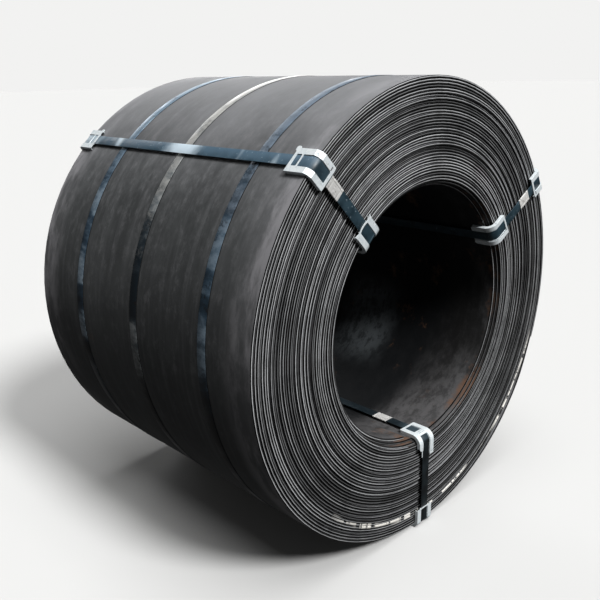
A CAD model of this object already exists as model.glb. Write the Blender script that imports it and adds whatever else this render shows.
# %% [markdown]
# # A coil of hot-rolled steel strip
# The coil lies with its eye level, bound by three straps round its girth and three through
# its eye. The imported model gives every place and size. Its pieces are right but plain: the
# turns are closed rings and the sheet is flat. This lesson makes each piece again inside the
# same box, with the shapes and finishes that the eye looks for. The strip is wound, the
# straps are swept, the seals are crimped and the edge protectors are pressed.

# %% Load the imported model
import functools
import math

import bmesh
import bpy
from mathutils import Matrix, Vector
from mathutils.geometry import delaunay_2d_cdt


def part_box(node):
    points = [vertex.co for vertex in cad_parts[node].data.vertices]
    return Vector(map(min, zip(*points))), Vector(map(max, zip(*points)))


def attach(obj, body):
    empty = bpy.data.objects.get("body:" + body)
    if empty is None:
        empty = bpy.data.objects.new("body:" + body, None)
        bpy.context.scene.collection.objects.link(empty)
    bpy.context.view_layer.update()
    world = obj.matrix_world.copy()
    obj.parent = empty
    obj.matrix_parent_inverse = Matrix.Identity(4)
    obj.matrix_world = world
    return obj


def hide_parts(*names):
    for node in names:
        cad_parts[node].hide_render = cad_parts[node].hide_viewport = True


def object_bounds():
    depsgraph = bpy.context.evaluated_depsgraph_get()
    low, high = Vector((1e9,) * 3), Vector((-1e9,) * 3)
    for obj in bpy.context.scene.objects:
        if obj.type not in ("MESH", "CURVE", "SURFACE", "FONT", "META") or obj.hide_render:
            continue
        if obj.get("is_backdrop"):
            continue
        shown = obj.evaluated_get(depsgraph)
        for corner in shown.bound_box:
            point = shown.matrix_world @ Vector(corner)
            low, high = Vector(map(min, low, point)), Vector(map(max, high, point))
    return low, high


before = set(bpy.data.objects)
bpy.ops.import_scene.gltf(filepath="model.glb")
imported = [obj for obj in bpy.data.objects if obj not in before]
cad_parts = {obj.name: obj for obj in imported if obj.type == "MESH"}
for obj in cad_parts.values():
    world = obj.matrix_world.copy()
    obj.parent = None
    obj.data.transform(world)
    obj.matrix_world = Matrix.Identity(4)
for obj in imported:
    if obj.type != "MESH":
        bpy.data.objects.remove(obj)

CAD_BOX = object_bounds()
MM = 0.001
NAMES = ("left", "right", "bottom")
ENDS = ("front", "back")
GIRTHS = ("front", "middle", "back")


def placed(name, data):
    """A new object of the scene, at the origin."""
    made = bpy.data.objects.new(name, data)
    bpy.context.scene.collection.objects.link(made)
    return made


def rounded_off(points):
    """Points with their places to a tenth of a millimetre, for printing."""
    return [tuple(round(v, 4) for v in point) for point in points]


print("packed nodes:", len(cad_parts), "box:", rounded_off(CAD_BOX))

# %% [markdown]
# The coil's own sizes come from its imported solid: its radius, its half width and the radius
# of its eye. Everything below is placed from them. The axis of the coil lies along Y, and
# the floor is at zero.

# %% Measure the coil
low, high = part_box("coil")
COIL_R = (high.x - low.x) / 2
HALF_W = (high.y - low.y) / 2
AXIS_Z = (high.z + low.z) / 2
AXIS = Vector((0, 0, AXIS_Z))
EYE_R = min(math.hypot(v.co.x, v.co.z - AXIS_Z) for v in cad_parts["coil"].data.vertices)
print(f"coil: radius {COIL_R:.4f}, half width {HALF_W:.4f}, eye radius {EYE_R:.4f} m")

# %% [markdown]
# ## Camera
# The camera stands to the left of the front end and a little above the coil, so that the
# outside, the end and the eye all show. Its place is given in coil radii from the middle of
# the front end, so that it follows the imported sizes.

# %% Camera
CAMERA_AT = Vector((-2.4574, -1.7360, 1.0314))
CAMERA_LOOK = Vector((0.66508, 0.68313, -0.30168))
CAMERA_RIGHT = Vector((0.71226, -0.7017, -0.01865))
LENS = 43.83                 # in mm, on a sensor 36 mm wide

camera = placed("camera", bpy.data.cameras.new("camera"))
bpy.context.scene.camera = camera
camera.data.lens = LENS
look, right = CAMERA_LOOK.normalized(), CAMERA_RIGHT.normalized()
turned = Matrix((right, right.cross(look), -look)).transposed()
front_middle = Vector((0, -HALF_W, AXIS_Z))
camera.matrix_world = Matrix.Translation(front_middle + CAMERA_AT * COIL_R) @ turned.to_4x4()
print("camera at", rounded_off([camera.location]), "with a lens of", LENS, "mm")

# %% [markdown]
# ## Adding nodes
# Shaders and Geometry Nodes are both trees of nodes, so one function adds a node to either.
# It sets the node's own settings, sets or links its inputs, and gives back an output, which
# goes straight into the next node. Inside a tree, `put` is the same function with the tree
# already filled in. Colours are given as sRGB hex and turned to linear by one function. A
# pattern's scale is how often it repeats in a metre, so `per` works it out from a real size
# in millimetres. Real surfaces are coat on coat, so `coats` lays one tint over another, each
# where its mask is light. The four numbers of a mask are the two values of the pattern that
# it runs between, and how much of the tint there is at each.

# %% Adding nodes
MATH, RANGE, NOISE, MIX = "ShaderNodeMath", "ShaderNodeMapRange", "ShaderNodeTexNoise", "ShaderNodeMix"
SPLIT, COMBINE, MAPPING = "ShaderNodeSeparateXYZ", "ShaderNodeCombineXYZ", "ShaderNodeMapping"
COORDS, BUMP, ATTRIBUTE = "ShaderNodeTexCoord", "ShaderNodeBump", "ShaderNodeAttribute"
ADD, SUB, MUL, DIV = ({"operation": o} for o in ("ADD", "SUBTRACT", "MULTIPLY", "DIVIDE"))
ABS, FRACT, POWER, MUL_ADD = ({"operation": o} for o in ("ABSOLUTE", "FRACT", "POWER", "MULTIPLY_ADD"))
SMOOTH = {"interpolation_type": "SMOOTHSTEP"}       # inputs: value, from low, from high, to low, to high
COLOUR = {"data_type": "RGBA", "out": 2}            # inputs: 0 factor, 6 first colour, 7 second colour
ALONG = {"noise_dimensions": "1D"}


def add(tree, kind, inputs=(), out=0, **settings):
    """Adds a node and gives one of its outputs. Inputs are in order, or by name or number."""
    made = tree.nodes.new(kind)
    for name, value in settings.items():
        setattr(made, name, value)
    for key, value in inputs.items() if isinstance(inputs, dict) else enumerate(inputs):
        if isinstance(value, bpy.types.NodeSocket):
            tree.links.new(value, made.inputs[key])
        elif value is not None:
            made.inputs[key].default_value = value
    return made if out is None else made.outputs[out]


def linear(colour):
    """The linear colour that Blender works in, from an sRGB hex value."""
    parts = [int(colour[i:i + 2], 16) / 255 for i in (1, 3, 5)]
    return (*[p / 12.92 if p <= 0.04045 else ((p + 0.055) / 1.055) ** 2.4 for p in parts], 1.0)


def per(*sizes):
    """How often a pattern repeats in a metre, from its size in mm, or its size along X, Y and Z."""
    scales = tuple(1000 / size for size in sizes)
    return scales if len(scales) > 1 else scales[0]


def new_finish(name, **constants):
    """A material, with some of its Principled shader's sockets set, and its own `put`."""
    material = bpy.data.materials.new(name)
    material.use_nodes = True
    shader = material.node_tree.nodes["Principled BSDF"]
    for key, value in constants.items():
        shader.inputs[key.replace("_", " ")].default_value = value
    return material, functools.partial(add, material.node_tree)


def link(material, **ends):
    """Links outputs to the shader's sockets by name."""
    shader = material.node_tree.nodes["Principled BSDF"]
    for key, value in ends.items():
        material.node_tree.links.new(value, shader.inputs[key.replace("_", " ")])


def coats(put, colour, *rows):
    """Lays tints over a colour. A row is a mask and a tint, with four numbers that shape the mask."""
    for mask, *span, tint in rows:
        if span:
            mask = put(RANGE, [mask, *span], **SMOOTH)
        colour = put(MIX, {0: mask, 6: colour, 7: linear(tint)}, **COLOUR)
    return colour


def rise_and_fall(put, value, rise, fall, most=1):
    """A mask that rises smoothly over one span of a value and falls over another."""
    return put(MATH, [put(RANGE, [value, *rise, 0, most], **SMOOTH),
                      put(RANGE, [value, *fall, 1, 0], **SMOOTH)], **MUL)


print("mid grey #808080 is", round(linear("#808080")[0], 3), "in linear light")

# %% [markdown]
# ## Hot-rolled scale
# Strip leaves the hot mill with a skin of magnetite, a dark grey oxide. It is satin where it
# is clean, paler where the side guides rub it and where dust lies on it, and it carries long
# faint streaks in the rolling direction, which is round the coil. Oxide isn't a metal, so
# the shader is a dielectric. It could be painted on an unwrapped sheet, but noise in the
# object's own coordinates needs no unwrapping and has no seam. The streaks are noise
# stretched along X and Z and tight along Y, because the coil's axis is Y. Inside the eye the
# same scale has stood damp: it is darker and duller, with dust at its mouths, rust blooms
# and marks of the mandrel. One function makes both finishes from their colours.

# %% Hot-rolled scale
SCALE_IOR = 1.5              # magnetite under a trace of mill oil, dulled by dust
STRAP_SIDES = [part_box("girth_strap_" + name)[0].y for name in GIRTHS]


def scale_finish(name, dark, light, streak, rub, dust, dust_from, rust, rust_from, dirt_lines=(),
                 gloss=0.5, middle=None, mottle=None):
    """Rolled and left as it came: the eye sees a dark soft sheen, drawn out round the coil."""
    material, put = new_finish(name, IOR=SCALE_IOR, Specular_IOR_Level=gloss)
    place = put(COORDS, out="Object")
    # Object coordinates are moved so that their zero is on the coil's axis
    place = put(MAPPING, {"Vector": place, "Location": tuple(-AXIS)})
    upward = put(SPLIT, [put(COORDS, out="Normal")], out=2)
    y = put(SPLIT, [place], out=1)
    along = put(MATH, [y], **ABS)
    # Each pattern is noise with a size in mm along X, Y and Z. The streaks are from the rolls'
    # cooling water. The lines are the rolls' own marks, really under 1 mm wide, and drawn
    # 2.4 mm wide so that they show. The clouds are uneven cooling, the blotches are patches of
    # thicker scale, and the smudges are from handling.
    streaks, lines, clouds, blotches, smudges = (
        put(NOISE, {"Vector": put(MAPPING, {"Vector": place, "Scale": per(*size)}), "Scale": 1.0,
                    "Detail": detail, "Roughness": roughness})
        for size, detail, roughness in (((670, 17, 670), 6.0, 0.6), ((110, 2.4, 110), 4.0, 0.65),
                                        ((450, 300, 450), 7.0, 0.65), ((50, 30, 50), 8.0, 0.75),
                                        ((200, 70, 200), 6.0, 0.65)))
    # The outer 130 mm at each side is rubbed by the side guides and by handling
    side = put(MATH, [put(RANGE, [along, HALF_W - 0.13, HALF_W - 0.02, 0, 1], **SMOOTH),
                      put(RANGE, [smudges, 0.42, 0.62, 0.2, 1.0], **SMOOTH)], **MUL)
    # Pale mill dust lies on what faces up
    lying = put(MATH, [clouds, 0.3, upward], **MUL_ADD)
    lying = put(MATH, [blotches, 0.35, lying], **MUL_ADD)
    colour = coats(put, linear(dark), (clouds, 0.35, 0.65, 0, 1, light),
                   (streaks, 0.45, 0.8, 0, 0.5, streak), (blotches, 0.38, 0.62, 0.16, 0, "#171717"),
                   (blotches, 0.5, 0.72, 0, 0.2, rub), (lines, 0.5, 0.8, 0, 0.22, "#171616"),
                   (side, rub), (lying, dust_from, 1.5, 0, 0.75, dust))
    if middle:
        # Dust blows in at the mouths of the eye and sticks in patches, and the rest stays dark
        inside = put(MATH, [clouds, 0.16, along], **MUL_ADD)
        # Half way in, the mandrel's segments have left its two sides paler and mottled
        patch = put(RANGE, [put(MATH, [clouds, -0.1, along], **MUL_ADD), -0.02, 0.12, 1, 0], **SMOOTH)
        patch = put(MATH, [patch, rise_and_fall(put, upward, (0.05, 0.3), (0.6, 0.9))], **MUL)
        patch = put(MATH, [patch, put(RANGE, [blotches, 0.4, 0.56, 0.35, 1], **SMOOTH)], **MUL)
        colour = coats(put, colour, (blotches, 0.38, 0.56, 0.5, 0, dark),
                       (inside, HALF_W - 0.19, HALF_W - 0.04, 0.97, 0, middle), (patch, mottle))
    # Rust blooms, 20 to 80 mm across. In the eye they are thicker at the strip's two edges.
    at_edge = put(RANGE, [along, HALF_W - 0.055, HALF_W - 0.025, 0, 0.11], **SMOOTH)
    blooms = put(NOISE, {"Vector": place, "Scale": per(140), "Detail": 7.0, "Roughness": 0.7})
    blooms = put(MATH, [blooms, at_edge], **ADD) if middle else blooms
    colour = coats(put, colour, (blooms, rust_from, rust_from + 0.12, 0, 0.7, rust))
    # Oil and dirt gather in a line 3 mm wide along the front side of each girth strap
    for strap_side in dirt_lines:
        off = put(MATH, [put(MATH, [y, strap_side], **SUB)], **ABS)
        colour = coats(put, colour, (off, 1.8 * MM, 3.4 * MM, 0.85, 0, "#050505"))
    link(material, Base_Color=colour, Roughness=put(RANGE, [blotches, 0.35, 0.7, 0.6, 0.74], **SMOOTH),
         Normal=put(BUMP, {"Height": blotches, "Distance": 0.3 * MM, "Strength": 0.25}))
    return material


SCALE = scale_finish("hot_rolled_scale", dark="#383a3b", light="#4b4d4e", streak="#606163",
                     rub="#88878a", dust="#8e8f92", dust_from=0.76, rust="#5c4a3e", rust_from=0.68,
                     dirt_lines=STRAP_SIDES)
BORE = scale_finish("damp_scale", dark="#161616", light="#1e1e1e", streak="#292929", rub="#4a4a4b",
                    dust="#605f60", dust_from=0.7, rust="#6b4e3a", rust_from=0.575, gloss=0.2,
                    middle="#0b0d0f", mottle="#585d60")
print("finishes:", SCALE.name, BORE.name)

# %% [markdown]
# ## Rolled edges
# The two edges of the strip are left as rolled. Each keeps dark scale on its flat, and the
# shoulders that stand out are rubbed to dull bare steel, more on some turns than on others.
# That is what makes the turns show as fine pale lines with near-black between. A pattern of
# rings about the axis would drift off the turns, because the winding is a spiral. So the
# winding below stores two numbers on its points: `turn`, the turn that a point is in, and
# `across`, which goes from -1 on the inside of the strip to 1 on the outside. The pattern
# uses them, so it follows the winding. A dragged sling has left a broken bright line across
# the lower turns.

# %% Rolled edges
HEAD_ANGLE = 190.0           # where the strip starts, clockwise from the top seen from the front
SCUFF_TURNS = (34.2, 29.2)   # the bright line's turns where it starts and where it ends
SCUFF_FROM, SCUFF_TO = 105 / 360, 224 / 360      # its place round the coil, in shares of a turn


def edge_finish():
    """A rolled edge: dark scale with its shoulders rubbed bright, so each turn draws a line."""
    # Its scale is rough and powdery, which takes most of the gloss off it
    material, put = new_finish("rolled_edge", Metallic=0.3, Specular_IOR_Level=0.1)
    place = put(COORDS, out="Object")
    turn = put(ATTRIBUTE, attribute_name="turn", out="Fac")
    across = put(ATTRIBUTE, attribute_name="across", out="Fac")
    by_turn = put(NOISE, {"W": turn, "Scale": 0.9, "Detail": 3.0, "Roughness": 0.8}, **ALONG)
    # Each turn is rubbed on its own, and changes to the next one's wear a quarter turn before it
    whole, part = put(MATH, [turn], operation="FLOOR"), put(MATH, [turn], **FRACT)
    this = put("ShaderNodeTexWhiteNoise", {"W": whole}, **ALONG)
    following = put("ShaderNodeTexWhiteNoise", {"W": put(MATH, [whole, 1], **ADD)}, **ALONG)
    own = put(MIX, [put(RANGE, [part, 0.75, 1, 0, 1], **SMOOTH), None, this, following])
    # The turns are rubbed a little more towards the top, where hooks and slings reach
    height = put(MATH, [put(SPLIT, [place], out=2), AXIS_Z], **SUB)
    own = put(MATH, [height, 0.05 / COIL_R, own], **MUL_ADD)
    own = put(RANGE, [own, 0.28, 0.56, 0.3, 1], **SMOOTH)
    patches = put(NOISE, {"Vector": place, "Scale": per(90), "Detail": 4.0, "Roughness": 0.7})
    nicks = put(NOISE, {"Vector": place, "Scale": per(11), "Detail": 2.0})
    wear = put(MATH, [put(RANGE, [by_turn, 0.4, 0.6, 0.7, 1.0], **SMOOTH),
                      put(RANGE, [patches, 0.32, 0.6, 0.6, 1.0], **SMOOTH)], **MUL)
    wear = put(MATH, [wear, own], **MUL)
    wear = put(MATH, [wear, put(RANGE, [nicks, 0.35, 0.6, 0.88, 1.0], **SMOOTH)], **MUL)
    # The outer shoulder stands out most, and the inner one less
    rim = put(MATH, [rise_and_fall(put, across, (-0.05, 0.15), (0.42, 0.62)),
                     rise_and_fall(put, across, (-0.58, -0.42), (-0.3, -0.15), 0.15)],
              operation="MAXIMUM")
    rim = put(MATH, [rim, wear], **MUL)
    body = put(MATH, [across], **ABS)
    # The broken bright line, in dashes of 10 to 60 mm, wanders from turn to turn as it goes round
    share = put(MATH, [put(MATH, [turn, HEAD_ANGLE / 360], **ADD)], **FRACT)
    wander = put(NOISE, {"W": share, "Scale": 9.0, "Detail": 2.0}, **ALONG)
    centre = put(RANGE, [share, SCUFF_FROM, SCUFF_TO, SCUFF_TURNS[0], SCUFF_TURNS[1]])
    centre = put(MATH, [wander, 1.2, centre], **MUL_ADD)
    off = put(MATH, [put(MATH, [turn, centre], **SUB)], **ABS)
    dashes = put(NOISE, {"W": share, "Scale": 70.0, "Detail": 6.0, "Roughness": 0.75}, **ALONG)
    dashes = put(RANGE, [dashes, 0.43, 0.5, 0, 1], **SMOOTH)
    scuff = put(MATH, [put(RANGE, [off, 0.5, 0.9, 1, 0], **SMOOTH), dashes], **MUL)
    stretch = rise_and_fall(put, share, (SCUFF_FROM, SCUFF_FROM + 0.03), (SCUFF_TO - 0.03, SCUFF_TO))
    scuff = put(MATH, [scuff, stretch], **MUL)
    colour = coats(put, linear("#010101"), (body, 0.35, 0.7, 1, 0, "#101010"), (rim, "#eceef0"),
                   (scuff, "#f4f1ea"))
    link(material, Base_Color=colour, Roughness=put(RANGE, [wear, 0, 1, 0.6, 0.42], **SMOOTH))
    return material


EDGE = edge_finish()
print("finish:", EDGE.name)

# %% [markdown]
# ## The wound strip
# The coil is one strip on a spiral. It could be turned as rings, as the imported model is, but
# then its head and tail wouldn't show. Its shape follows a rule, so Geometry Nodes can wind
# it: a line of points, each moved to its place on the spiral, and an outline swept along
# it. Three things make a real coil unlike a perfect spiral, and all three are in the rule.
# The strip climbs by one thickness a turn over a short arc, near its head inside and near
# its tail outside, so the coil is round everywhere else. The turn under the tail climbs over
# a shorter arc still, so that the straps lie on the coil just past the step. Each turn
# stands a little forward or back of the next. And the first turns, which the mandrel let
# go, stand well back.

# %% Sizes of the winding
TURN_COUNT = 37              # across the wall of the coil
TURN_GAP = 0.4 * MM          # slack between one turn and the next
PITCH = (COIL_R - EYE_R + TURN_GAP) / TURN_COUNT
STRIP_T = PITCH - TURN_GAP
TAIL_ANGLE = 110.0           # where it ends, on the outside
WOUND = TURN_COUNT - 1 + (360 + TAIL_ANGLE - HEAD_ANGLE) / 360
print(f"strip: {STRIP_T / MM:.2f} mm thick at {PITCH / MM:.2f} mm a turn, {WOUND:.2f} turns")

# %% [markdown]
# A tree of Geometry Nodes is built here by the script. Its sizes are named inputs, so one
# tree can make several pieces, and it ends by making everything real and giving it its
# finish. It runs once, on a base object that is then thrown away, and what is kept is a
# plain mesh.

# %% Trees with named sizes
def geometry_tree(name, sizes, takes_geometry=False):
    """An empty tree with named inputs, its `put`, its inputs, and a way to end it."""
    tree = bpy.data.node_groups.new(name, "GeometryNodeTree")
    if takes_geometry:
        tree.interface.new_socket("Geometry", in_out="INPUT", socket_type="NodeSocketGeometry")
    tree.interface.new_socket("Geometry", in_out="OUTPUT", socket_type="NodeSocketGeometry")
    for key, (kind, value) in sizes.items():
        made = tree.interface.new_socket(key, in_out="INPUT", socket_type="NodeSocket" + kind)
        made.default_value = value
    put = functools.partial(add, tree)
    given = put("NodeGroupInput", out=None).outputs

    def end(geometry, *finishes):
        """Ends a tree: real geometry, then each finish on the faces that its test picks."""
        geometry = put("GeometryNodeRealizeInstances", [geometry])
        for finish, test in finishes:
            geometry = put("GeometryNodeSetMaterial", {
                "Geometry": geometry, "Selection": test, "Material": finish})
        put("NodeGroupOutput", [geometry], out=None)
        return tree

    return put, given, end


def evaluated(name, base, tree, values):
    """The plain mesh that a tree makes of a base object, with some of its inputs set."""
    modifier = base.modifiers.new(name, "NODES")
    modifier.node_group = tree
    for item in tree.interface.items_tree:
        if item.in_out == "INPUT" and item.name in values:
            modifier[item.identifier] = values[item.name]
    bpy.context.view_layer.update()
    graph = bpy.context.evaluated_depsgraph_get()
    mesh = bpy.data.meshes.new_from_object(base.evaluated_get(graph), depsgraph=graph)
    mesh.name = name
    base.modifiers.remove(modifier)
    bpy.data.objects.remove(base)
    return placed(name, mesh)

# %% [markdown]
# The spiral is worked out point by point. A point's number along the line gives its turn,
# and its turn gives its angle and its radius. Keeping the turn on the points is what lets
# the scatter and the finish follow the strip later.

# %% Spiral of the strip
STEPS = 96                   # points a turn
HEAD_CLIMB = (0.02, 0.31)    # share of a turn past the head over which the inner turns climb
TAIL_CLIMB = (0.78, 0.95)    # the same for the outer turns, just past the tail
LOOSE_CLIMB = (0.78, 0.82)   # the same for the turn that the tail lies on


def spiral(put, given):
    """The strip's middle line, with its turn number stored on its points."""
    points = put(MATH, [put(MATH, [given["Steps"], given["Turns"]], **MUL)], operation="CEIL")
    line = put("GeometryNodeMeshLine", {"Count": points, "Offset": (0, 0, 0.01)})
    curve = put("GeometryNodeMeshToCurve", [line])
    index = put("GeometryNodeInputIndex")
    last = put(MATH, [points, 1], **SUB)
    turn = put(MATH, [put(MATH, [index, last], **DIV), given["Turns"]], **MUL)
    # The climb: by the head's arc on the inner turns, and by the tail's on the outer ones
    part, whole = put(MATH, [turn], **FRACT), put(MATH, [turn], operation="FLOOR")
    by_head = put(MATH, [whole, put(RANGE, [part, *HEAD_CLIMB, 0, 1], **SMOOTH)], **ADD)
    under_tail = put(MATH, [turn, put(MATH, [given["Turns"], 1.1], **SUB)], operation="GREATER_THAN")
    slow, quick = (put(RANGE, [part, *arc, 1, 2], **SMOOTH) for arc in (TAIL_CLIMB, LOOSE_CLIMB))
    by_tail = put(MATH, [whole, put(MIX, [under_tail, None, slow, quick])], **ADD)
    outward = put(MATH, [turn, given["Turns"]], **DIV)
    climb = put(MIX, [outward, None, by_head, by_tail])
    middle = put(MATH, [given["Eye radius"], given["Pitch"]], **SUB)
    middle = put(MATH, [given["Thickness"], 0.5, middle], **MUL_ADD)
    radius = put(MATH, [climb, given["Pitch"], middle], **MUL_ADD)
    angle = put(MATH, [put(MATH, [turn, HEAD_ANGLE / 360], **ADD), math.tau], **MUL)
    x = put(MATH, [radius, put(MATH, [angle], operation="SINE")], **MUL)
    z = put(MATH, [radius, put(MATH, [angle], operation="COSINE")], **MUL)
    wound = put("GeometryNodeSetPosition", {"Geometry": curve, "Position": put(COMBINE, [x, 0, z])})
    flat = put("GeometryNodeSetCurveNormal", {"Curve": wound, "Normal": (0, 1, 0)}, mode="FREE")
    return put("GeometryNodeStoreNamedAttribute", {"Geometry": flat, "Name": "turn", "Value": turn},
               data_type="FLOAT", domain="POINT")


print("points along the strip:", math.ceil(STEPS * WOUND))

# %% [markdown]
# The strip is cut from nothing: its edges are the mill's own, with rounded shoulders. The
# outline is a rectangle with its corners filleted, swept along the spiral.

# %% Outline of the strip
EDGE_ROUND = 2.6 * MM        # radius of the strip's rolled shoulders


def strip_outline(put, given):
    """The strip cut across, with rolled shoulders, and `across` stored on its points."""
    outline = put("GeometryNodeCurvePrimitiveQuadrilateral", [given["Width"], given["Thickness"]],
                  mode="RECTANGLE")
    outline = put("GeometryNodeFilletCurve", {
        "Curve": outline, "Radius": given["Edge round"], "Count": 3, "Limit Radius": True}, mode="POLY")
    height = put(SPLIT, [put("GeometryNodeInputPosition")], out=1)
    half = put(MATH, [given["Thickness"], 0.5], **MUL)
    return put("GeometryNodeStoreNamedAttribute", {
        "Geometry": outline, "Name": "across", "Value": put(MATH, [height, half], **DIV)},
        data_type="FLOAT", domain="POINT")


print(f"outline: {STRIP_T / MM:.2f} mm thick, with shoulders of {EDGE_ROUND / MM:.1f} mm")

# %% [markdown]
# Turns don't lie flush at the ends of a coil, because the strip wanders a few millimetres as
# it winds. One slow noise along the strip moves each turn forward or back, and the same
# move at both ends keeps the strip's width true.

# %% Scatter of the turns
SCATTER = 3.2 * MM           # how far turns stand forward and back of the middle
SCATTER_SEED = 3.7           # where along the noise the first turn starts
HEAD_RECESS = 26 * MM        # how far the head stands back
RECESS_TURNS = 1.5           # how soon the recess dies out


def scattered(put, given, strip):
    """Turns forward and back of each other, and the head well back at both sides."""
    turn = put("GeometryNodeInputNamedAttribute", {"Name": "turn"}, data_type="FLOAT")
    slow = put(NOISE, {"W": put(MATH, [turn, given["Seed"]], **ADD), "Scale": 0.8, "Detail": 3.0,
                       "Roughness": 0.75}, **ALONG)
    shift = put(MATH, [put(RANGE, [slow, 0.3, 0.7, -1, 1], **SMOOTH), given["Scatter"]], **MUL)
    y = put(SPLIT, [put("GeometryNodeInputPosition")], out=1)
    share = put(MATH, [put(MATH, [turn, given["Recess turns"]], **DIV), 2], **POWER)
    fade = put(MATH, [put(MATH, [share, -1], **MUL)], operation="EXPONENT")
    back = put(MATH, [put(MATH, [y], operation="SIGN"), -1], **MUL)
    back = put(MATH, [back, put(MATH, [fade, given["Head recess"]], **MUL)], **MUL)
    offset = put(COMBINE, [0, put(MATH, [shift, back], **ADD), 0])
    return put("GeometryNodeSetPosition", {"Geometry": strip, "Offset": offset})


print("turns stand up to", round(SCATTER / MM, 1), "mm forward or back, and the head",
      round(HEAD_RECESS / MM), "mm back")

# %% [markdown]
# The whole tree joins the three, smooths the round of the coil and keeps the corners crisp.
# The finish is chosen by place: the first three turns are the lining of the eye, and what
# faces along the axis is an edge.

# %% Winding tree
LINING_TURNS = 3.0           # turns that take the eye's finish
CRISP = math.radians(12)     # a sharper corner than this isn't smoothed


def winding_tree():
    put, given, end = geometry_tree("wound_strip", {
        "Steps": ("Int", STEPS), "Turns": ("Float", WOUND), "Eye radius": ("Float", EYE_R),
        "Pitch": ("Float", PITCH), "Thickness": ("Float", STRIP_T),
        "Width": ("Float", 2 * (HALF_W - SCATTER)), "Edge round": ("Float", EDGE_ROUND),
        "Scatter": ("Float", SCATTER), "Head recess": ("Float", HEAD_RECESS),
        "Recess turns": ("Float", RECESS_TURNS), "Seed": ("Float", SCATTER_SEED),
        "Strip finish": ("Material", None), "Bore finish": ("Material", None),
        "Edge finish": ("Material", None)})
    strip = put("GeometryNodeCurveToMesh", {
        "Curve": spiral(put, given), "Profile Curve": strip_outline(put, given), "Fill Caps": True})
    strip = scattered(put, given, strip)
    strip = put("GeometryNodeTransform", {"Geometry": strip, "Translation": tuple(AXIS)})
    # Corners of the outline stay crisp, and the round of the coil is smooth
    bend = put("GeometryNodeInputMeshEdgeAngle", out="Unsigned Angle")
    crisp = put("FunctionNodeCompare", [bend, CRISP], data_type="FLOAT", operation="GREATER_THAN")
    strip = put("GeometryNodeSetShadeSmooth", {"Geometry": strip, "Shade Smooth": True})
    strip = put("GeometryNodeSetShadeSmooth", {
        "Geometry": strip, "Selection": crisp, "Shade Smooth": False}, domain="EDGE")
    # The outside, then the bore, then the two edges
    turn = put("GeometryNodeInputNamedAttribute", {"Name": "turn"}, data_type="FLOAT")
    inner = put("FunctionNodeCompare", [turn, LINING_TURNS], data_type="FLOAT", operation="LESS_THAN")
    facing = put(MATH, [put(SPLIT, [put("GeometryNodeInputNormal")], out=1)], **ABS)
    on_edge = put("FunctionNodeCompare", [facing, 0.1], data_type="FLOAT", operation="GREATER_THAN")
    return end(strip, (given["Strip finish"], None), (given["Bore finish"], inner),
               (given["Edge finish"], on_edge))


WINDING = winding_tree()
print("winding tree:", len(WINDING.nodes), "nodes")

# %% [markdown]
# The tree is run once with its finishes, and the plain mesh that it makes stands for the
# packed coil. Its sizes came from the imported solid, so it fills the same box.

# %% Wind the coil
def settled(piece, node):
    """A finished piece, riding on the object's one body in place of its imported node."""
    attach(piece, "root")
    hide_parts(node)
    print(piece.name, len(piece.data.polygons), "faces")
    return piece


coil = evaluated("wound_coil", placed("winding", bpy.data.meshes.new("winding")), WINDING, {
    "Strip finish": SCALE, "Bore finish": BORE, "Edge finish": EDGE})
settled(coil, "coil")
print("its finishes", [m.name for m in coil.data.materials],
      "box", rounded_off([coil.bound_box[0], coil.bound_box[6]]))

# %% [markdown]
# ## Blued steel
# All six straps are 32 mm steel band. The girth straps are blued: steel heated until a thin
# blue oxide grows on it, then waxed. It is worn bright where slings have rubbed it, and dull
# with oil underneath. The blue of a thin film could be worked out from its thickness, but a
# few tints laid over each other by noise, from the oxide up to the wear, give the same look.

# %% Blued steel
def blued_finish(name, oxide, slate, glint, top_worn):
    """Blued steel: an oxide film that flashes where the strap waves, worn bright on top."""
    material, put = new_finish(name, Metallic=0.5)
    place = put(MAPPING, {"Vector": put(COORDS, out="Object"), "Location": tuple(-AXIS)})
    # The strap waves along its length, so its tints change along it more than across it
    waves = put(MAPPING, {"Vector": place, "Scale": per(140, 330, 140)})
    waves = put(NOISE, {"Vector": waves, "Scale": 1.0, "Detail": 5.0, "Roughness": 0.55})
    rubs = put(MAPPING, {"Vector": place, "Scale": per(33, 55, 33)})
    rubs = put(NOISE, {"Vector": rubs, "Scale": 1.0, "Detail": 5.0, "Roughness": 0.7})
    stains = put(NOISE, {"Vector": place, "Scale": per(45), "Detail": 6.0, "Roughness": 0.75})
    upward = put(SPLIT, [put(COORDS, out="Normal")], out=2)
    flash = put(MATH, [put(RANGE, [waves, 0.5, 0.58, 0, 1], **SMOOTH),
                       put(RANGE, [rubs, 0.35, 0.6, 0.3, 1], **SMOOTH)], **MUL)
    # It is worn on top, where slings and other coils have lain on it. Underneath, out of
    # their reach, it keeps a dull brown-black film of oil.
    lying = put(MATH, [put(MATH, [rubs, 0.5], **SUB), 1.2, upward], **MUL_ADD)
    under = put(MATH, [rubs, 0.6, upward], **MUL_ADD)
    colour = coats(put, linear(oxide), (waves, 0.4, 0.6, 0, 1, slate),
                   (put(MATH, [flash, 0.75], **MUL), glint), (lying, 0.35, 0.95, 0, 0.9, top_worn),
                   (under, 0.05, 0.55, 0.9, 0, "#242322"), (stains, 0.56, 0.66, 0, 0.7, "#221f1c"))
    link(material, Base_Color=colour, Roughness=put(RANGE, [waves, 0.4, 0.6, 0.5, 0.34], **SMOOTH))
    return material


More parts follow.
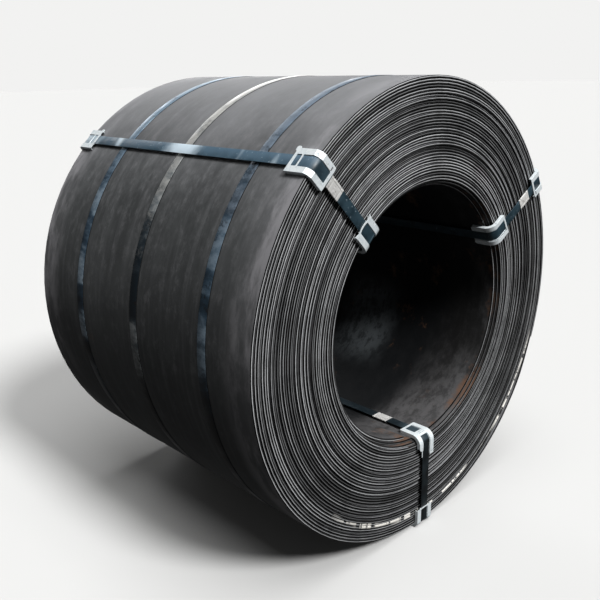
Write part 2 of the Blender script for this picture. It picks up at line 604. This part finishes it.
BLUED = {
    "front": blued_finish("blued_steel", oxide="#1f2c36", slate="#4c6478", glint="#9db0c0",
                          top_worn="#8796a6"),
    "middle": blued_finish("blued_steel_worn_bright", oxide="#1c272f", slate="#59646c",
                           glint="#b9bebf", top_worn="#d0cfcb"),
    "back": blued_finish("blued_steel_rubbed", oxide="#1a2733", slate="#50687d", glint="#b4c6d4",
                         top_worn="#8ca2b5")}
print("finishes:", [m.name for m in BLUED.values()])

# %% [markdown]
# ## Strap paint
# The eye straps are painted, two of them dark blue-green and one black. A thin coat on band
# goes chalky where it faces the sky, is nicked all over, and is rubbed pale where it stands
# proud over the middle girth strap. The paint is a dielectric, so the shader needs no metal.

# %% Strap paint
def paint_finish(name, dark, light, chalk, rub):
    """Strap paint: a thin dark coat, chalky where it faces up, rubbed pale by handling."""
    material, put = new_finish(name, IOR=1.5)
    place = put(COORDS, out="Object")
    mottle = put(NOISE, {"Vector": place, "Scale": per(33), "Detail": 4.0})
    scuffs = put(NOISE, {"Vector": place, "Scale": per(9), "Detail": 3.0, "Roughness": 0.7})
    waves = put(MAPPING, {"Vector": place, "Scale": per(500, 140, 500)})
    waves = put(NOISE, {"Vector": waves, "Scale": 1.0, "Detail": 3.0})
    upward = put(SPLIT, [put(COORDS, out="Normal")], out=2)
    lying = put(MATH, [mottle, 0.3, upward], **MUL_ADD)
    flash = put(MATH, [put(RANGE, [waves, 0.56, 0.66, 0, 0.8], **SMOOTH),
                       put(RANGE, [upward, 0.2, 0.5, 0, 1], **SMOOTH)], **MUL)
    # It stands proud where it crosses the middle girth strap, and is rubbed pale there
    low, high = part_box("girth_strap_middle")
    middle = (low.y + high.y) / 2
    off = put(MATH, [put(MATH, [put(SPLIT, [place], out=1), middle], **SUB)], **ABS)
    off = put(MATH, [mottle, -0.05, off], **MUL_ADD)
    crossing = put(MATH, [put(RANGE, [off, 0.0, 0.07, 1, 0], **SMOOTH),
                          put(RANGE, [upward, 0.3, 0.6, 0, 1], **SMOOTH)], **MUL)
    flash = put(MATH, [flash, crossing], operation="MAXIMUM")
    colour = coats(put, linear(dark), (mottle, 0.3, 0.7, 0, 1, light), (lying, 0.4, 1.0, 0, 0.6, chalk),
                   (flash, rub), (scuffs, 0.64, 0.72, 0, 0.4, rub))
    link(material, Base_Color=colour, Roughness=put(RANGE, [mottle, 0.3, 0.7, 0.34, 0.48], **SMOOTH))
    return material


BLUE_GREEN = paint_finish("strap_paint", dark="#16262e", light="#263a44", chalk="#566f82", rub="#c3d3de")
NEAR_BLACK = paint_finish("strap_paint_black", dark="#0a0e10", light="#182024", chalk="#1c262c",
                          rub="#39474f")
PAINT = {"left": BLUE_GREEN, "right": BLUE_GREEN, "bottom": NEAR_BLACK}
print("finishes:", BLUE_GREEN.name, NEAR_BLACK.name)

# %% [markdown]
# ## Straps
# Each eye strap lies in a plane through the coil's axis. Its own frame has X across the
# strap, Y along the coil and Z away from the axis, so that one description does for all
# three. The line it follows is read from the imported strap: each corner of its outside has
# a partner on its inside, and the strap's middle runs half way between them.

# %% Strap lines
STRAP_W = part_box("girth_strap_front")[1].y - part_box("girth_strap_front")[0].y
STRAP_T = min(-CAD_BOX[0].x, CAD_BOX[1].x) - COIL_R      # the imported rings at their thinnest
STRAP_EDGE = 0.3 * MM
CIRCLE_STEPS = 192


def strap_frame(name):
    """From an eye strap's own frame to the coil's."""
    points = [v.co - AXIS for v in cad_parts["eye_strap_" + name].data.vertices]
    middle = sum(points, Vector()) / len(points)
    return Matrix.Translation(AXIS) @ Matrix.Rotation(math.atan2(middle.x, middle.z), 4, "Y")


FRAMES = {name: strap_frame(name) for name in NAMES}


def own_points(node, name):
    """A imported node's corners in its strap's own frame."""
    back = FRAMES[name].inverted()
    return [back @ v.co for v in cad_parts[node].data.vertices]


def own_box(node, name):
    points = own_points(node, name)
    return [Vector(pick(p[i] for p in points) for i in range(3)) for pick in (min, max)]


def eye_line(name):
    """The closed middle line of an eye strap, as points in its own frame."""
    corners = {(round(p.y, 5), round(p.z, 5)) for p in own_points("eye_strap_" + name, name)}
    corners = [Vector((0, *c)) for c in corners]
    middles = set()
    for corner in corners:
        partner = min((c for c in corners if c is not corner), key=lambda c: (c - corner).length)
        if (partner - corner).length < 2 * STRAP_T:
            middle = (corner + partner) / 2
            middles.add((round(middle.y, 6), round(middle.z, 6)))
    wall = (COIL_R + EYE_R) / 2
    return sorted((Vector((0, *m)) for m in middles), key=lambda m: math.atan2(m.z - wall, m.y))


print("eye strap lines:", {name: len(eye_line(name)) for name in NAMES}, "corners")

# %% [markdown]
# A strap is a flat band along a closed line. It could be a curve object with a bevel, but a
# swept outline whose normal is fixed to one direction can't twist, and it makes the round
# girth straps and the cornered eye straps alike.

# %% Strap tree
def band_tree():
    put, given, end = geometry_tree("strap_band", {
        "Width": ("Float", STRAP_W), "Thickness": ("Float", STRAP_T),
        "Edge": ("Float", STRAP_EDGE), "Across": ("Vector", (1, 0, 0)),
        "Finish": ("Material", None)}, takes_geometry=True)
    curve = put("GeometryNodeMeshToCurve", [given["Geometry"]])
    flat = put("GeometryNodeSetCurveNormal", {"Curve": curve, "Normal": given["Across"]}, mode="FREE")
    outline = put("GeometryNodeCurvePrimitiveQuadrilateral", [given["Width"], given["Thickness"]],
                  mode="RECTANGLE")
    outline = put("GeometryNodeFilletCurve", {
        "Curve": outline, "Radius": given["Edge"], "Count": 2, "Limit Radius": True}, mode="POLY")
    swept = put("GeometryNodeCurveToMesh", {"Curve": flat, "Profile Curve": outline, "Fill Caps": True})
    return end(swept, (given["Finish"], None))


BAND = band_tree()
print("strap:", round(STRAP_W / MM, 2), "by", round(STRAP_T / MM, 2), "mm")


def line_object(name, lines):
    """A mesh of edges along each (points, closed) line."""
    points, edges = [], []
    for line, closed in lines:
        first = len(points)
        points += line
        edges += [(first + i, first + i + 1) for i in range(len(line) - 1)]
        if closed:
            edges.append((len(points) - 1, first))
    mesh = bpy.data.meshes.new(name + "_line")
    mesh.from_pydata(points, edges, [])
    return placed(name + "_line", mesh)


def band(name, node, lines, across, finish):
    """A strap swept along its lines, with its width along `across`."""
    piece = evaluated(name, line_object(name, lines), BAND, {"Across": across, "Finish": finish})
    return settled(piece, node)

# %% [markdown]
# A girth strap is pulled tight round the coil, so its line is a circle. Its end laps over
# its start for a short way, and the seal grips the two together. The lap is a second, short
# band on the first.

# %% Girth straps
SEAL_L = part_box("eye_seal_bottom")[1].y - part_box("eye_seal_bottom")[0].y
TAIL_OUT = 16 * MM           # how far a strap's end shows past its seal


def circle_point(radius, angle, y):
    """A point round the coil, clockwise from the top as seen from the front."""
    return AXIS + Vector((radius * math.sin(angle), y, radius * math.cos(angle)))


def girth_seal_angle(name):
    low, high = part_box("girth_seal_" + name)
    middle = (low + high) / 2 - AXIS
    return math.atan2(middle.x, middle.z)


def girth_strap(name):
    low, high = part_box("girth_strap_" + name)
    y = (low.y + high.y) / 2
    radius = COIL_R + STRAP_T / 2
    ring = [circle_point(radius, math.tau * i / CIRCLE_STEPS, y) for i in range(CIRCLE_STEPS)]
    half = (SEAL_L / 2 + TAIL_OUT) / radius
    middle = girth_seal_angle(name)
    tail = [circle_point(radius + STRAP_T, middle + half * (i / 8 - 1), y) for i in range(17)]
    return band("girth_strap_" + name + "_band", "girth_strap_" + name,
                [(ring, True), (tail, False)], (0, 1, 0), BLUED[name])


for name in GIRTHS:
    girth_strap(name)

# %% [markdown]
# An eye strap runs along the outside, down one end, through the eye and back up the other
# end, bending over a protector at each corner. Its lap lies under the seal, on the front end
# or, for the bottom strap, inside the eye.

# %% Eye straps
SHORT_END = 4 * MM           # how far the strap's other end shows past its seal


def eye_strap(name):
    place = FRAMES[name]
    line = [place @ p for p in eye_line(name)]
    low, high = own_box("eye_seal_" + name, name)
    middle = (low + high) / 2
    if name == "bottom":
        run, down = Vector((0, 1, 0)), Vector((0, 0, 1))
    else:
        run, down = Vector((0, 0, -1)), Vector((0, 1, 0))
    start = middle + down * STRAP_T - run * (SEAL_L / 2 + SHORT_END)
    end = middle + down * STRAP_T + run * (SEAL_L / 2 + TAIL_OUT)
    across = place.to_3x3() @ Vector((1, 0, 0))
    return band("eye_strap_" + name + "_band", "eye_strap_" + name,
                [(line, True), ([place @ start, place @ end], False)], tuple(across), PAINT[name])


for name in NAMES:
    eye_strap(name)

# %% [markdown]
# ## Zinc
# Seals and protectors are zinc-coated sheet. Fresh zinc is a mirror of small crystals, and
# after a few weeks outdoors it has a pale carbonate skin that hides most of the metal. So
# the shader is mostly a dielectric, a Voronoi pattern gives the crystals their tones at
# their real size of 5 to 8 mm, and a noise adds grime.

# %% Zinc finishes
def zinc_finish(name, light, dark, grime, metallic, spangle):
    """Hot-dipped zinc: a pale dull skin that the eye reads as metal by its faint spangle."""
    material, put = new_finish(name, Metallic=metallic)
    place = put(COORDS, out="Object")
    cells = put("ShaderNodeTexVoronoi", {"Vector": place, "Scale": per(spangle)}, out="Color")
    tone = put("ShaderNodeSeparateColor", [cells])
    blotches = put(NOISE, {"Vector": place, "Scale": per(18), "Detail": 5.0, "Roughness": 0.75})
    colour = coats(put, linear(light), (tone, dark), (blotches, 0.55, 0.68, 0, 0.75, grime))
    link(material, Base_Color=colour, Roughness=put(RANGE, [tone, 0, 1, 0.36, 0.5]),
         Normal=put(BUMP, {"Height": blotches, "Distance": 0.3 * MM, "Strength": 0.4}))
    return material


SEAL_ZINC = zinc_finish("zinc_coated_seal", light="#e4e3e1", dark="#d0cfcc", grime="#8d8a85",
                        metallic=0.2, spangle=5)
GALVANISED = zinc_finish("galvanised_sheet", light="#eef4f6", dark="#dbe4e8", grime="#8d979b",
                         metallic=0.2, spangle=8)
print("finishes:", SEAL_ZINC.name, GALVANISED.name)

# %% [markdown]
# ## Seals
# A seal is a short sleeve of zinc-coated sheet, folded round both ends of the strap and
# crimped. The crimping jaws pinch it at two places, and the edge of the sheet shows as a
# line near one side, where it laps. A bevelled box would have neither. The seal is a
# flattened tube with a wall, so its outline is written once and repeated along its length
# in mesh code, drawn in at the pinches.

# %% Shape of a seal
SEAL_WALL = 1.2 * MM
SEAL_SLACK = 0.2 * MM
SEAL_STATIONS = 54
LAP = 9.5 * MM                   # where the sheet's edge shows, from the seal's middle
PINCHES = (-18, 18)              # mm from the middle
PINCH_DEPTH = 1.6 * MM
PINCH_WIDTH = 1.6                # in mm along the seal
PINCH_EDGE = 6 * MM              # how far in from its side a seal is pinched
FLATTENED = 0.45                 # share of its height that a pinch takes there
CORNER_OUTSIDE = 1.7 * MM
CORNER_INSIDE = 0.5 * MM
LAP_DEPTH = 0.9 * MM
OFF_COIL = 0.02 * MM             # how far a girth strap's seal clears the coil


def rounded_section(half_w, low, high, radius, groove):
    """A flat tube's outline, as (across, up) points, with a groove where its edge is lapped."""
    points = []
    for cx, cy, start in ((half_w - radius, high - radius, 0), (-half_w + radius, high - radius, 90),
                          (-half_w + radius, low + radius, 180), (half_w - radius, low + radius, 270)):
        for i in range(5):
            a = math.radians(start + 90 * i / 4)
            points.append((cx + radius * math.cos(a), cy + radius * math.sin(a)))
        if start == 0:
            points += [(LAP + x * MM, high - drop * groove) for x, drop in
                       ((1.7, 0), (1.5, 1), (-1.5, 1), (-1.7, 0))]
    return points


def pinch(along):
    """How much of the full pinch there is at a place along the seal."""
    return max(math.exp(-((along / MM - p) / PINCH_WIDTH) ** 2) for p in PINCHES)


def bridge(made, ring, after):
    """Joins one closed ring of a mesh's points to the next with faces."""
    for i in range(len(ring)):
        n = (i + 1) % len(ring)
        made.faces.new((ring[i], ring[n], after[n], after[i]))


def from_mesh(made, name, finish, crease):
    """An object of a mesh made in code, smooth but for creases sharper than an angle in degrees."""
    mesh = bpy.data.meshes.new(name)
    made.to_mesh(mesh)
    made.free()
    mesh.materials.append(finish)
    mesh.shade_smooth()
    mesh.set_sharp_from_angle(angle=math.radians(crease))
    return placed(name, mesh)


def seal(name, node, low, high, put):
    """A crimped sleeve. put(along, across, up) gives the place of a point of it."""
    half_w = STRAP_W / 2 + SEAL_SLACK + SEAL_WALL
    outside = rounded_section(half_w, low - SEAL_WALL, high + SEAL_WALL, CORNER_OUTSIDE, LAP_DEPTH)
    inside = rounded_section(half_w - SEAL_WALL, low, high, CORNER_INSIDE, 0)
    made = bmesh.new()
    rings = []
    for i in range(SEAL_STATIONS + 1):
        along = SEAL_L * (i / SEAL_STATIONS - 0.5)
        depth = pinch(along) * PINCH_DEPTH
        ring = []
        for section in (outside, inside):
            for across, up in section:
                edge = max(0.0, (abs(across) - half_w) / PINCH_EDGE + 1)
                drawn = math.copysign(max(0.0, abs(across) - depth * edge), across)
                bent = (up - low) * (1 - FLATTENED * pinch(along) * edge) + low
                ring.append(made.verts.new(put(along, drawn, bent)))
        rings.append((ring[:len(outside)], ring[len(outside):]))
    for (out_a, in_a), (out_b, in_b) in zip(rings, rings[1:]):
        bridge(made, out_a, out_b)
        bridge(made, in_b, in_a)
    bridge(made, *rings[0][::-1])
    bridge(made, *rings[-1])
    bmesh.ops.recalc_face_normals(made, faces=made.faces)
    return settled(from_mesh(made, name, SEAL_ZINC, 35), node)


print("a seal is", round(SEAL_L / MM, 1), "mm long and pinched at", PINCHES, "mm from its middle")

# %% [markdown]
# The same sleeve serves twice. An eye strap's seal is straight, and lies on the front end
# or in the eye. A girth strap's seal is bent to the round of the coil. Each gives `seal` a
# small function that puts a point of the sleeve in its place.

# %% Seals
def eye_seal(name):
    low, high = own_box("eye_seal_" + name, name)
    middle = (low + high) / 2
    place = FRAMES[name]

    def put(along, across, up):
        if name == "bottom":      # in the eye, so up is towards the axis
            return place @ (middle + Vector((across, along, -up)))
        return place @ (middle + Vector((across, -up, along)))     # on the front end, up is forward

    # Two straps lie in it, one under the other, and up is measured from the upper one's middle
    bottom, top = -1.5 * STRAP_T - SEAL_SLACK, 0.5 * STRAP_T + SEAL_SLACK
    return seal("eye_seal_" + name + "_sleeve", "eye_seal_" + name, bottom, top, put)


def girth_seal(name):
    low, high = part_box("girth_seal_" + name)
    y, middle = (low.y + high.y) / 2, girth_seal_angle(name)

    def put(along, across, up):
        return circle_point(COIL_R + up, middle + along / COIL_R, y + across)

    return seal("girth_seal_" + name + "_sleeve", "girth_seal_" + name,
                SEAL_WALL + OFF_COIL, SEAL_WALL + 2 * STRAP_T, put)


for name in NAMES:
    eye_seal(name)
for name in GIRTHS:
    girth_seal(name)

# %% [markdown]
# ## Edge protectors
# A protector is pressed from galvanised sheet, 1.6 mm thick. Seen flat it is a frame with
# windows, which the press then bends over the coil's corner: in three flats outside, and in
# a rolled bend inside the eye. Below the frame are two flanges that sit on the coil, and a
# channel with a saddle that carries the strap. So the script does what the press does. It
# draws the frame flat, with `along` from the tip and `across` from the strap's middle, cuts
# it into triangles at the fold lines, gives it its thickness, and then bends it. A small
# bevel gives every edge the radius that a press leaves, which catches the light.

# %% Sizes of the protectors
SHEET = 1.6                                  # thickness of the sheet, in mm
STRAP_GAUGE = 1.0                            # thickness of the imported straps, in mm
STRAP_LEVEL = (-HALF_W - own_box("eye_strap_left", "left")[0].y) / MM       # top of a strap
TOP_LEVEL = (-HALF_W - own_box("outer_protector_left_front", "left")[0].y) / MM
LIFT = STRAP_LEVEL - STRAP_GAUGE - SHEET     # underside of the saddle, above the coil
HALF_GUARD = own_box("outer_protector_left_front", "left")[1].x / MM
CHANNEL = STRAP_W / MM / 2 + 1.5             # half the width between the channel's walls
BENDS = {"outer": (18.0, 3), "inner": (26.0, 8)}      # radius in mm, and flats that make it
print(f"levels above the coil: saddle {LIFT:.2f}, strap {STRAP_LEVEL:.2f}, frame {TOP_LEVEL:.2f} mm")

# %% [markdown]
# The bend is a line of flats. For each level of the sheet, its tip, its folds and its end
# are worked out in the strap's own frame, and a point of the flat sheet takes its place on
# the same share of the same flat. So the sheet keeps its thickness through the bend.

# %% Bend of the sheet
def legs(kind):
    """Lengths of a protector's legs along the coil and down its end, and its seat's height."""
    low, high = own_box(kind + "_protector_left_front", "left")
    side = (high.y + HALF_W) / MM
    if kind == "outer":
        seat = high.z / MM - TOP_LEVEL
        return side, seat - low.z / MM, seat
    seat = low.z / MM + TOP_LEVEL
    return side, high.z / MM - seat, seat


def fold_points(kind, level):
    """A protector's line at a level: its tip, the folds of its bend, and its end."""
    side, end, _ = legs(kind)
    radius, flats = BENDS[kind]
    middle = LIFT - radius
    reach = (radius + level - LIFT) / math.cos(math.radians(45 / flats))
    turns = [math.radians(90 - (i + 0.5) * 90 / flats) for i in range(flats)]
    folds = [(middle + reach * math.cos(t), middle + reach * math.sin(t)) for t in turns]
    return [(-side, level), *folds, (level, -end)]


def fold_places(kind):
    """How far along the flat sheet each fold lies."""
    points = fold_points(kind, TOP_LEVEL)
    places = [0.0]
    for a, b in zip(points, points[1:]):
        places.append(places[-1] + math.dist(a, b))
    return places


def bend_sheet(kind, name, end_name):
    """A function that takes (along, across, level) of the flat sheet to its place on the coil."""
    places, seat = fold_places(kind), legs(kind)[2]
    away = 1 if kind == "outer" else -1
    facing = -1 if end_name == "front" else 1

    def put_on(along, across, level):
        points = fold_points(kind, level)
        i = max(0, min(len(places) - 2, sum(along > p for p in places) - 1))
        share = (along - places[i]) / (places[i + 1] - places[i])
        p, q = (a + (b - a) * share for a, b in zip(points[i], points[i + 1]))
        return FRAMES[name] @ Vector((across * MM, facing * (HALF_W + p * MM), (seat + away * q) * MM))

    return put_on


print("sheet lengths:", {kind: round(fold_places(kind)[-1], 1) for kind in BENDS})

# %% [markdown]
# The outlines are drawn flat, in millimetres, as a die maker would. The outer ones have a
# cross bar, a lug at one corner and a slot by the end bar. The inner ones differ: the left
# one has a thin arched bar between two ears, the right one has lost the bar at its tip, and
# the bottom one has a bridge over the bend and an open end.

# %% Outlines of the flat sheet
def rounded(corners):
    """A closed line with its (along, across, radius) corners rounded."""
    line = []
    for i, (x, y, r) in enumerate(corners):
        here = Vector((x, y))
        before, after = (Vector(corners[(i + d) % len(corners)][:2]) for d in (-1, 1))
        a = here + (before - here).normalized() * min(r, (before - here).length * 0.49)
        b = here + (after - here).normalized() * min(r, (after - here).length * 0.49)
        steps = (0, 0.3, 0.7, 1) if r > 0 else (0,)
        line += [a * (1 - t) ** 2 + here * 2 * t * (1 - t) + b * t ** 2 for t in steps]
    return line


def box_line(x0, x1, y0, y1, radius):
    return rounded([(x0, y0, radius), (x1, y0, radius), (x1, y1, radius), (x0, y1, radius)])


def outer_plan(name):
    """A frame with two windows, a lug at one corner of its tip, and a slot by its end bar."""
    end, half, way = fold_places("outer")[-1], HALF_GUARD, CHANNEL
    slotted = [(30, -way, 3), (end - 8, -way - 2, 1), (end - 7, 29, 1), (end - 12, 30, 1),
               (end - 12, way, 0.5), (30, way, 3)]
    lug = [(9, half, 1), (7, half + 6, 4), (-5, half + 6, 5), (-6, half - 7, 5), (0, half - 9, 2)]
    if name == "bottom":         # its end bar is a thin arch
        outline = [(0, -half, 3), (end, -half, 2), (end, -way - 3, 1), (end + 2.5, 0, 9),
                   (end, way + 3, 1), (end, half, 2), *lug]
        slotted = [(30, -way, 3), (end - 4, -way, 2), (end - 1.6, 0, 9), (end - 4, way, 2), (30, way, 3)]
    else:
        outline = [(-1.5, -half, 2), (8, -half - 0.01, 4), (end, -half, 2), (end + 1.5, half - 8, 2),
                   (end, half, 3), *lug]
    return rounded(outline), [box_line(8, 26, -way, way, 4), rounded(slotted)]


def inner_plan(name):
    """A frame with one window, or what is left of it, as each of the three has its own tip."""
    end, half, way = fold_places("inner")[-1], HALF_GUARD, CHANNEL
    if name == "bottom":         # a bridge with two slits over the bend, and an open end
        outline = [(0, -half, 3), (end, -half, 3), (end, -way, 1), (66, -way, 2), (66, way, 2),
                   (end - 26, way, 1), (end - 22, way + 5, 4), (end - 30, half, 8), (0, half, 3)]
        holes = [box_line(7, 43, -way, way, 3), box_line(49, 50.4, -13, 15, 0.5),
                 box_line(56, 57.4, -15, 13, 0.5),
                 box_line(end - 10, end - 7, -half + 5, -way - 2, 1)]
        return rounded(outline), holes
    if name == "left":           # a thin arched bar between two pointed ears
        outline = [(0, -half, 3), (end - 6, -half, 2), (end + 4, -half - 3, 1), (end - 1, -way - 4, 3),
                   (end + 3.5, 0, 12), (end - 1, way + 4, 3), (end + 4, half + 3, 1), (end - 6, half, 2),
                   (0, half, 3)]
        window = [(8, -way, 3), (end - 5, -way, 3), (end - 1, 0, 12), (end - 5, way, 3), (8, way, 3)]
        return rounded(outline), [rounded(window)]
    # The right one has lost the bar at its tip, and its two rails end in points
    outline = [(end, -half, 3), (end, half, 1), (9, half, 4), (0, half - 5, 1), (3, way, 1),
               (end - 7, way + 4, 1), (end - 7, -way - 4, 1), (3, -way, 1), (0, -half + 5, 1),
               (9, -half, 4)]
    return rounded(outline), []


PLANS = {"outer": outer_plan, "inner": inner_plan}
print("corners in the flat outlines:", {k: len(PLANS[k]("left")[0]) for k in PLANS})

# %% [markdown]
# Cutting and bending are two steps. A triangulation that keeps the outlines and the fold
# lines as its edges gives flat faces that end at the folds, so that each face stays flat
# when the sheet is bent.

# %% Cut the flat sheet
FOLD_REACH = 60              # mm that a fold line runs to each side, past the sheet's edge


def encloses(line, x, y):
    """Whether a closed line goes round a point."""
    inside = False
    for (x0, y0), (x1, y1) in zip(line, line[1:] + line[:1]):
        if (y0 > y) != (y1 > y) and x < x0 + (y - y0) / (y1 - y0) * (x1 - x0):
            inside = not inside
    return inside


def cut_flat(folds, outline, holes):
    """The flat outline less its holes, as corners and triangles that end at the folds."""
    points, edges = [], []
    for line in [outline, *holes]:
        first = len(points)
        points += line
        edges += [(first + i, first + (i + 1) % len(line)) for i in range(len(line))]
    for place in folds[1:-1]:
        edges.append((len(points), len(points) + 1))
        points += [Vector((place, -FOLD_REACH)), Vector((place, FOLD_REACH))]
    corners, _, triangles, *_ = delaunay_2d_cdt(points, edges, [], 0, 1e-5)
    kept = []
    for triangle in triangles:
        x, y = (sum(corners[i][axis] for i in triangle) / 3 for axis in (0, 1))
        if encloses(outline, x, y) and not any(encloses(hole, x, y) for hole in holes):
            kept.append(tuple(triangle))
    return corners, kept


print("triangles in the flat frames:",
      {k: len(cut_flat(fold_places(k), *PLANS[k]("left"))[1]) for k in PLANS})

# %% [markdown]
# The press bends the frame, and the flanges, the channel's walls and its saddle are bars of
# sheet that follow the same bend.

# %% Press the sheet
def press_frame(made, put_on, corners, kept):
    """Adds the frame of a protector, bent and with its thickness."""
    used = {i for triangle in kept for i in triangle}
    top = {i: made.verts.new(put_on(*corners[i], TOP_LEVEL)) for i in used}
    under = {i: made.verts.new(put_on(*corners[i], TOP_LEVEL - SHEET)) for i in used}
    sides = {(t[i], t[(i + 1) % 3]) for t in kept for i in range(3)}
    for triangle in kept:
        made.faces.new([top[i] for i in triangle])
        made.faces.new([under[i] for i in reversed(triangle)])
    for a, b in sides:
        if (b, a) not in sides:
            made.faces.new((top[b], top[a], under[a], under[b]))


def press_rib(made, put_on, folds, start, stop, across, levels):
    """Adds a bar of sheet that follows the bend: a flange, a channel wall or the saddle."""
    places = [start, *(p for p in folds if start + 0.01 < p < stop - 0.01), stop]
    corners = [(across[i], levels[j]) for i, j in ((0, 0), (1, 0), (1, 1), (0, 1))]
    rings = [[made.verts.new(put_on(place, *corner)) for corner in corners] for place in places]
    for ring, after in zip(rings, rings[1:]):
        bridge(made, ring, after)
    made.faces.new(rings[0][::-1])
    made.faces.new(rings[-1])

# %% [markdown]
# Each protector is one mesh of the frame and its bars. Faces that lie in one plane are
# joined again, so that the bevel sees only real corners. It rounds those by 0.4 mm.

# %% Edge protectors
PRESS_RADIUS = 0.4 * MM
FLANGE_SHORT = 3             # mm that a flange stops short of the frame's ends
TORN_OFF = 34                # mm that one flange of the bottom strap's inner ones has lost


def protector(kind, name, end_name):
    node = f"{kind}_protector_{name}_{end_name}"
    folds, put_on = fold_places(kind), bend_sheet(kind, name, end_name)
    under = TOP_LEVEL - SHEET
    made = bmesh.new()
    press_frame(made, put_on, *cut_flat(folds, *PLANS[kind](name)))
    for side in (-1, 1):
        flange = [side * (HALF_GUARD - SHEET), side * HALF_GUARD]
        wall = [side * CHANNEL, side * (CHANNEL + SHEET)]
        last = folds[-1] - (TORN_OFF if (kind, name, side) == ("inner", "bottom", 1) else FLANGE_SHORT)
        press_rib(made, put_on, folds, FLANGE_SHORT, last, flange, (0, under))
        press_rib(made, put_on, folds, 0, last, wall, (LIFT, under))
    saddle = (-CHANNEL - SHEET, CHANNEL + SHEET)
    press_rib(made, put_on, folds, 0, folds[-1], saddle, (LIFT, LIFT + SHEET))
    bmesh.ops.recalc_face_normals(made, faces=made.faces)
    bmesh.ops.dissolve_limit(made, angle_limit=math.radians(0.5), verts=made.verts, edges=made.edges)
    sharp = [e for e in made.edges if len(e.link_faces) == 2 and e.calc_face_angle() > math.radians(40)]
    bmesh.ops.bevel(made, geom=sharp, offset=PRESS_RADIUS, offset_type="OFFSET", segments=2,
                    profile=0.5, affect="EDGES", clamp_overlap=True)
    return settled(from_mesh(made, node + "_pressed", GALVANISED, 20), node)


for kind in PLANS:
    for name in NAMES:
        for end_name in ENDS:
            protector(kind, name, end_name)

# %% [markdown]
# ## Floor and backdrop
# A pale matt floor and a pale backdrop keep the eye on the coil. The floor throws no light
# back on the coil, so the coil's underside stays dark and its roundness shows.

# %% Floor
FLOOR_HALF = 60              # metres, so that its far edge lies at the horizon

floor_mesh = bpy.data.meshes.new("floor")
floor_corners = [(x * FLOOR_HALF, y * FLOOR_HALF, 0) for x, y in ((-1, -1), (1, -1), (1, 1), (-1, 1))]
floor_mesh.from_pydata(floor_corners, [], [(0, 1, 2, 3)])
floor = placed("floor", floor_mesh)
floor_finish, _ = new_finish("pale_floor", Base_Color=linear("#cccccb"), Roughness=0.95,
                             Specular_IOR_Level=0.0)
floor_mesh.materials.append(floor_finish)
floor.visible_diffuse = False
floor.visible_glossy = False
floor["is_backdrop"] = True
print("floor:", 2 * FLOOR_HALF, "m square, finish", floor_finish.name)

# %% [markdown]
# The world has two backgrounds. A white one gives a little fill from all sides, and a pale
# one is what the camera sees, so that the fill can be set without the picture going grey.

# %% Backdrop
world = bpy.data.worlds.new("studio")
bpy.context.scene.world = world
world.use_nodes = True
fill = world.node_tree.nodes["Background"]
fill.inputs["Color"].default_value = linear("#ffffff")
fill.inputs["Strength"].default_value = 0.06
pale = add(world.node_tree, "ShaderNodeBackground", [linear("#f2f2f1"), 1.0])
seen = add(world.node_tree, "ShaderNodeLightPath", out="Is Camera Ray")
both = add(world.node_tree, "ShaderNodeMixShader", [seen, fill.outputs[0], pale])
world.node_tree.links.new(both, world.node_tree.nodes["World Output"].inputs[0])
print("fill strength:", round(fill.inputs["Strength"].default_value, 3))

# %% [markdown]
# ## Lights
# One very soft light from above shades the round of the coil from top to bottom, one from
# above the front shows the turns, and one from behind keeps the far end readable. Suns are
# used because they light the whole length of the coil evenly, and their width in the sky
# sets how soft they are.

# %% Lights
def soft_light(name, towards, power, softness):
    """A light from far away, as wide in the sky as `softness` degrees."""
    light = placed(name, bpy.data.lights.new(name, "SUN"))
    light.data.energy, light.data.angle = power, math.radians(softness)
    light.location = towards
    light.rotation_euler = Vector(towards).to_track_quat("Z", "Y").to_euler()
    print(name, "light:", power, "W a square metre,", softness, "degrees wide")


soft_light("overhead", (-0.3, -0.8, 4.0), 1.85, 46)
soft_light("front", (0.0, -3.6, 3.7), 3.5, 14)
soft_light("behind", (2.4, 4.4, 0.6), 1.6, 40)
bpy.context.scene.view_settings.view_transform = "Standard"

# %% [markdown]
# ## Sizes
# Last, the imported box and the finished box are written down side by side. They should
# agree, because looks don't change the object's size.

# %% Sizes
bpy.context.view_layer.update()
print("visual box:", rounded_off(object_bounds()))
